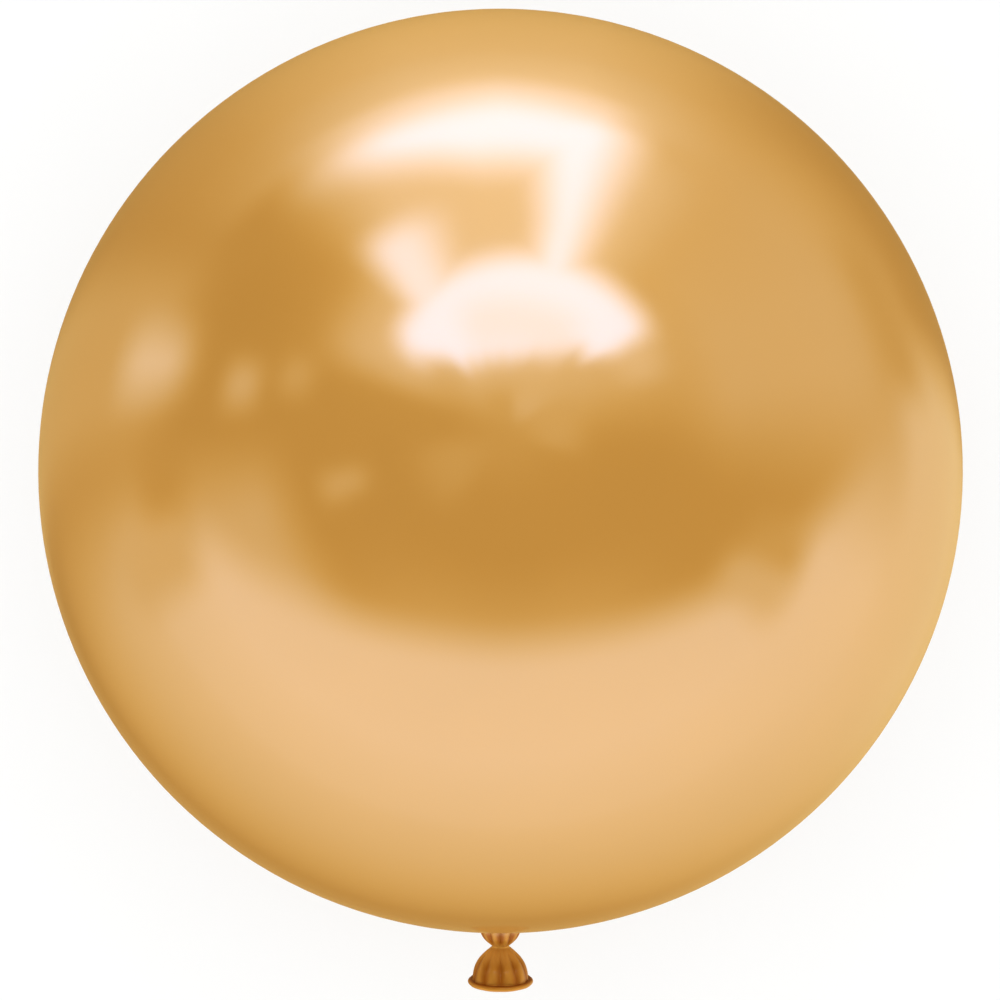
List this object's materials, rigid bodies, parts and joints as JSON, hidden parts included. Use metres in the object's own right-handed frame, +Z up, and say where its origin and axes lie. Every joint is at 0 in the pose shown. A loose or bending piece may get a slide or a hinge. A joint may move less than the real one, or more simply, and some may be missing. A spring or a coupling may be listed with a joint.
{
  "type": "giant latex balloon",
  "caption": "Big round latex balloon with a mirror gold finish, lying on its side, its neck pinched shut into a short fluted tail with a rolled lip.",
  "frame": {"origin": "middle of the flat spot on the balloon's side, on the surface that it lies on", "axes": "+Z up, +Y along the balloon's own axis, from the neck to the crown"},
  "size_m": [0.914, 0.9796, 0.9118],
  "materials": {
    "gold_latex": "taut latex with a glossy mirror gold finish"
  },
  "bodies": {
    "root": {"balloon": "gold_latex"}
  },
  "joints": []
}
